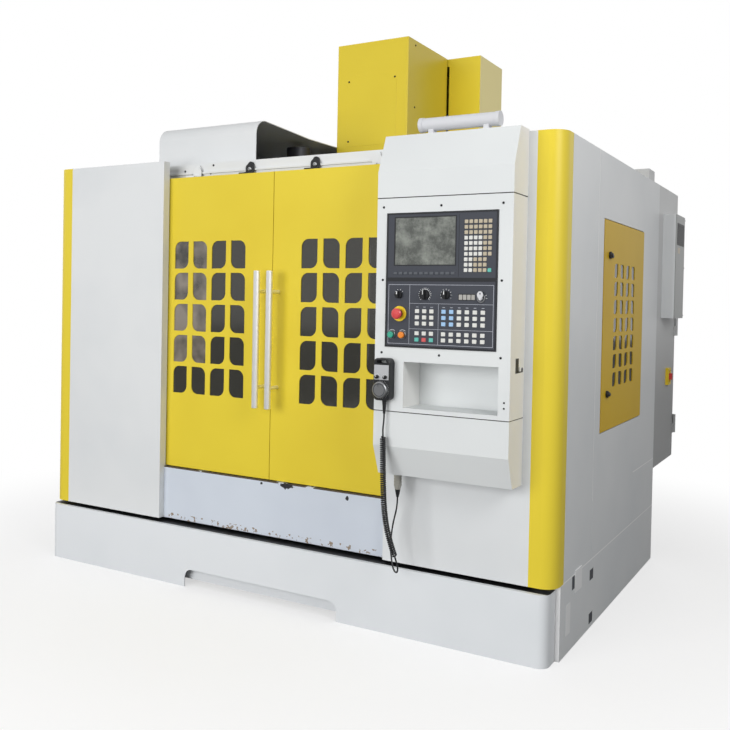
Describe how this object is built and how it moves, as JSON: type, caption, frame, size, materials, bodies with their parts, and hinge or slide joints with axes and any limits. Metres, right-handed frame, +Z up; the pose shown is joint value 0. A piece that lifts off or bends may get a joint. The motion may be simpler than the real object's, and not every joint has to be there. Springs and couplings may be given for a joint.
{
  "type": "cnc machining center",
  "caption": "Vertical machining centre in a sheet-metal enclosure with sliding doors, control pendant, tool magazine and coolant tank.",
  "frame": {"origin": "centre of the machine's footprint box, at floor level", "axes": "+X to the machine's right as seen from the operator, +Y to its back, +Z up"},
  "size_m": [2.625, 2.3246, 2.606],
  "materials": {
    "white_paint": "satin",
    "yellow_paint": "gloss",
    "casting_paint": "satin",
    "ground_iron": "ground",
    "bright_steel": "ground",
    "handle_steel": "brushed",
    "window": "clear",
    "black_plastic": "matte",
    "grey_plastic": "matte",
    "red_plastic": "gloss",
    "green_plastic": "gloss",
    "orange_plastic": "gloss",
    "white_plastic": "satin",
    "silver": "turned",
    "cord_rubber": "matte"
  },
  "bodies": {
    "frame": {"bed_casting": "casting_paint", "column_casting": "casting_paint", "column_cover": "yellow_paint", "magazine_hood": "white_paint", "changer_gearbox": "casting_paint", "left_side_panel": "white_paint", "right_side_panel": "white_paint", "left_front_panel": "white_paint", "right_front_panel": "white_paint", "sill_panel": "white_paint", "roof_beam": "white_paint", "rear_panel": "white_paint", "base_skirts": "white_paint", "chip_pan": "bright_steel", "electrical_cabinet": "white_paint", "cooling_unit": "white_paint", "pendant_housing": "white_paint", "display_unit": "black_plastic", "operator_panel": "black_plastic", "status_lamp": "white_plastic", "handset_body": "black_plastic", "cord_top": "cord_rubber", "cord_coil": "cord_rubber", "cord_tail": "cord_rubber", "cord_plug": "silver"},
    "tank": {"coolant_tank": "white_paint"},
    "saddle": {"saddle": "casting_paint"},
    "table": {"table": "ground_iron"},
    "head": {"spindle_head": "casting_paint", "spindle_motor": "grey_plastic", "head_cover": "yellow_paint"},
    "spindle": {"spindle": "bright_steel"},
    "x_screw": {"x_ballscrew": "bright_steel"},
    "y_screw": {"y_ballscrew": "bright_steel"},
    "z_screw": {"z_ballscrew": "bright_steel"},
    "magazine": {"tool_magazine": "grey_plastic"},
    "changer_shaft": {"changer_shaft": "bright_steel"},
    "changer_arm": {"changer_arm": "bright_steel"},
    "left_door": {"left_door": "yellow_paint", "left_door_glass": "window", "left_door_handle": "handle_steel"},
    "right_door": {"right_door": "yellow_paint", "right_door_glass": "window", "right_door_handle": "handle_steel"},
    "service_door": {"service_door": "yellow_paint", "service_glass": "window"},
    "lower_latch": {"lower_latch": "black_plastic"},
    "upper_latch": {"upper_latch": "black_plastic"},
    "cabinet_door": {"cabinet_door": "white_paint"},
    "main_switch": {"main_switch_knob": "red_plastic"},
    "estop": {"estop_button": "red_plastic"},
    "start": {"start_button": "green_plastic"},
    "stop": {"stop_button": "orange_plastic"},
    "feed_dial": {"feed_dial": "black_plastic"},
    "speed_dial": {"speed_dial": "black_plastic"},
    "selector": {"panel_selector": "black_plastic"},
    "key": {"panel_key": "silver"},
    "handset_dial": {"handset_dial": "silver"},
    "axis_knob": {"handset_axis_knob": "grey_plastic"},
    "step_knob": {"handset_step_knob": "grey_plastic"}
  },
  "joints": [
    {"name": "tank_pull", "type": "slide", "parent": "frame", "child": "tank", "axis": [0, -1, 0], "range_m": [0, 0.6]},
    {"name": "y_axis", "type": "slide", "parent": "frame", "child": "saddle", "axis": [0, 1, 0], "range_m": [-0.25, 0.25]},
    {"name": "x_axis", "type": "slide", "parent": "saddle", "child": "table", "axis": [1, 0, 0], "range_m": [-0.4, 0.4]},
    {"name": "z_axis", "type": "slide", "parent": "frame", "child": "head", "axis": [0, 0, 1], "range_m": [-0.6, 0]},
    {"name": "spindle_turn", "type": "hinge", "parent": "head", "child": "spindle", "pos_m": [-0.0325, -0.16675, 1.6], "axis": [0, 0, 1], "continuous": true},
    {"name": "y_screw_turn", "type": "hinge", "parent": "frame", "child": "y_screw", "pos_m": [-0.0325, -0.16675, 0.512], "axis": [0, 1, 0], "continuous": true},
    {"name": "x_screw_turn", "type": "hinge", "parent": "saddle", "child": "x_screw", "pos_m": [-0.0325, -0.16675, 0.717], "axis": [1, 0, 0], "continuous": true},
    {"name": "z_screw_turn", "type": "hinge", "parent": "frame", "child": "z_screw", "pos_m": [-0.0325, 0.44525, 1.6], "axis": [0, 0, 1], "continuous": true},
    {"name": "magazine_turn", "type": "hinge", "parent": "frame", "child": "magazine", "pos_m": [-0.7475, -0.16675, 1.79], "axis": [1, 0, 0], "continuous": true},
    {"name": "changer_stroke", "type": "slide", "parent": "frame", "child": "changer_shaft", "axis": [0, 0, 1], "range_m": [-0.12, 0]},
    {"name": "changer_swing", "type": "hinge", "parent": "changer_shaft", "child": "changer_arm", "pos_m": [-0.3625, -0.16675, 1.539], "axis": [0, 0, -1], "continuous": true},
    {"name": "left_door_slide", "type": "slide", "parent": "frame", "child": "left_door", "axis": [-1, 0, 0], "range_m": [0, 0.54]},
    {"name": "right_door_slide", "type": "slide", "parent": "frame", "child": "right_door", "axis": [1, 0, 0], "range_m": [0, 0.54]},
    {"name": "service_door_hinge", "type": "hinge", "parent": "frame", "child": "service_door", "pos_m": [1.2435, 0.29225, 0.771], "axis": [0, 0, 1], "range_deg": [0, 110]},
    {"name": "lower_latch_turn", "type": "hinge", "parent": "service_door", "child": "lower_latch", "pos_m": [1.2475, -0.33475, 0.923], "axis": [1, 0, 0], "range_deg": [0, 90]},
    {"name": "upper_latch_turn", "type": "hinge", "parent": "service_door", "child": "upper_latch", "pos_m": [1.2475, -0.33475, 1.498], "axis": [1, 0, 0], "range_deg": [0, 90]},
    {"name": "cabinet_door_hinge", "type": "hinge", "parent": "frame", "child": "cabinet_door", "pos_m": [1.2565, 1.12525, 1.18], "axis": [0, 0, -1], "range_deg": [0, 110]},
    {"name": "main_switch_turn", "type": "hinge", "parent": "frame", "child": "main_switch", "pos_m": [1.2475, 0.93325, 0.915], "axis": [-1, 0, 0], "range_deg": [0, 90]},
    {"name": "estop_push", "type": "slide", "parent": "frame", "child": "estop", "axis": [0, 1, 0], "range_m": [0, 0.004]},
    {"name": "start_push", "type": "slide", "parent": "frame", "child": "start", "axis": [0, 1, 0], "range_m": [0, 0.003], "stiffness_N_per_m": 300, "springref_m": -0.002},
    {"name": "stop_push", "type": "slide", "parent": "frame", "child": "stop", "axis": [0, 1, 0], "range_m": [0, 0.003], "stiffness_N_per_m": 300, "springref_m": -0.002},
    {"name": "feed_turn", "type": "hinge", "parent": "frame", "child": "feed_dial", "pos_m": [0.7845, -1.10775, 1.316], "axis": [0, -1, 0], "range_deg": [-150, 150]},
    {"name": "speed_turn", "type": "hinge", "parent": "frame", "child": "speed_dial", "pos_m": [0.8685, -1.10775, 1.316], "axis": [0, -1, 0], "range_deg": [-135, 135]},
    {"name": "selector_turn", "type": "hinge", "parent": "frame", "child": "selector", "pos_m": [0.6785, -1.10775, 1.315], "axis": [0, 1, 0], "range_deg": [0, 90]},
    {"name": "key_turn", "type": "hinge", "parent": "frame", "child": "key", "pos_m": [1.0035, -1.10775, 1.306], "axis": [0, 1, 0], "range_deg": [0, 90]},
    {"name": "handset_dial_turn", "type": "hinge", "parent": "frame", "child": "handset_dial", "pos_m": [0.6295, -1.10775, 0.963], "axis": [0, -1, 0], "continuous": true},
    {"name": "axis_knob_turn", "type": "hinge", "parent": "frame", "child": "axis_knob", "pos_m": [0.6125, -1.10775, 1.01], "axis": [0, 1, 0], "range_deg": [-60, 60]},
    {"name": "step_knob_turn", "type": "hinge", "parent": "frame", "child": "step_knob", "pos_m": [0.6465, -1.10775, 1.01], "axis": [0, 1, 0], "range_deg": [-45, 45]}
  ],
  "couplings": [
    {"joint": "y_screw_turn", "follows": "y_axis", "rad_per_m": 392.7},
    {"joint": "x_screw_turn", "follows": "x_axis", "rad_per_m": 392.7},
    {"joint": "z_screw_turn", "follows": "z_axis", "rad_per_m": 392.7}
  ]
}
